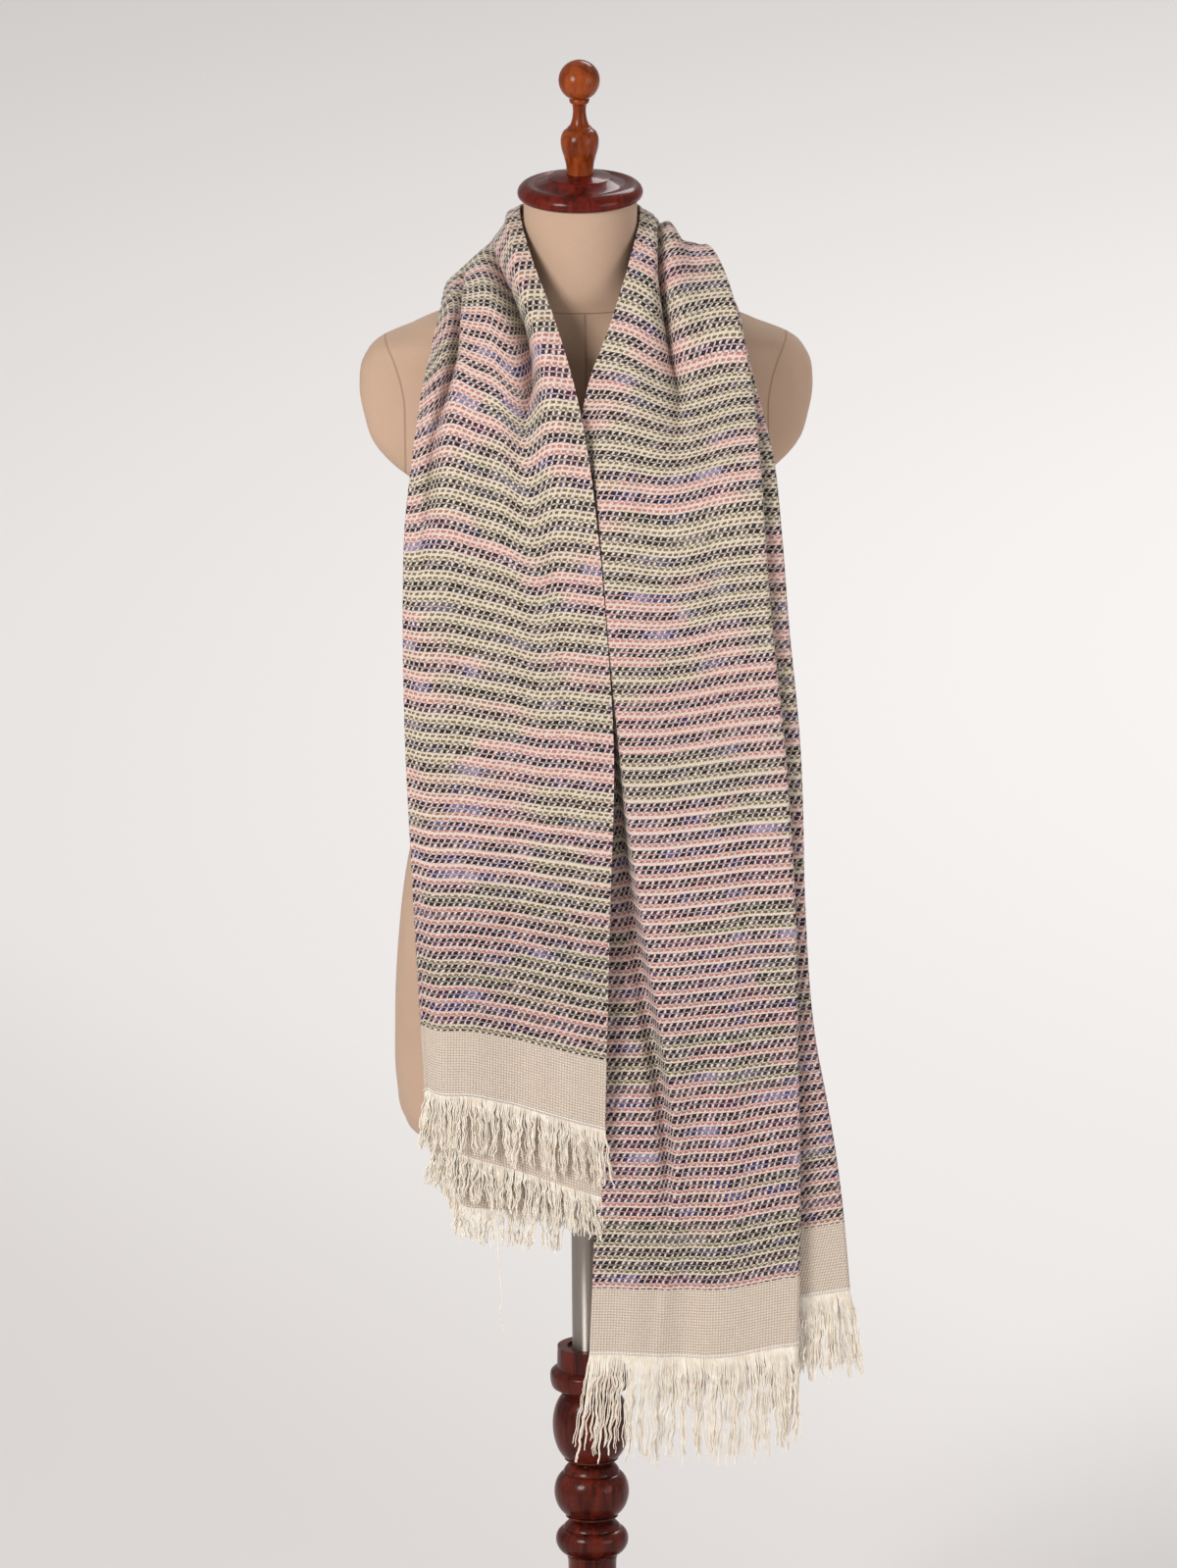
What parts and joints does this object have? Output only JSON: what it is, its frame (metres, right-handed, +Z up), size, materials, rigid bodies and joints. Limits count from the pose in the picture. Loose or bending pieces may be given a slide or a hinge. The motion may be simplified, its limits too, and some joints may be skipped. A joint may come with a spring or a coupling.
{
  "type": "pashmina shawl on a dress form",
  "caption": "Long striped woven shawl with plain end bands and fringe, folded and draped round the neck of a limbless dress form on a turned stand.",
  "frame": {"origin": "centre of the flat underside of the stand's base, on the axis of the pole", "axes": "+Z up along the pole, -Y the way the form faces, +X towards the side where the shawl's long end hangs"},
  "size_m": [0.4576, 0.3922, 1.6825],
  "materials": {
    "striped_pashmina": "matte wool weave with rows of dark and coral dashes",
    "cream_pashmina": "matte plain weave and loose yarn",
    "beige_jersey": "smooth matte jersey",
    "mahogany_varnish": "gloss varnish",
    "orange_varnish": "gloss varnish",
    "polished_steel": "polished"
  },
  "bodies": {
    "root": {"band_long_end": "cream_pashmina", "band_short_end": "cream_pashmina", "finial": "orange_varnish", "form_body": "beige_jersey", "fringe_long_end": "cream_pashmina", "fringe_short_end": "cream_pashmina", "neck_cap": "mahogany_varnish", "shawl_long_end": "striped_pashmina", "shawl_neck": "striped_pashmina", "shawl_short_end": "striped_pashmina", "stand_base": "mahogany_varnish", "stand_pole": "polished_steel", "stand_post": "mahogany_varnish"}
  },
  "joints": []
}
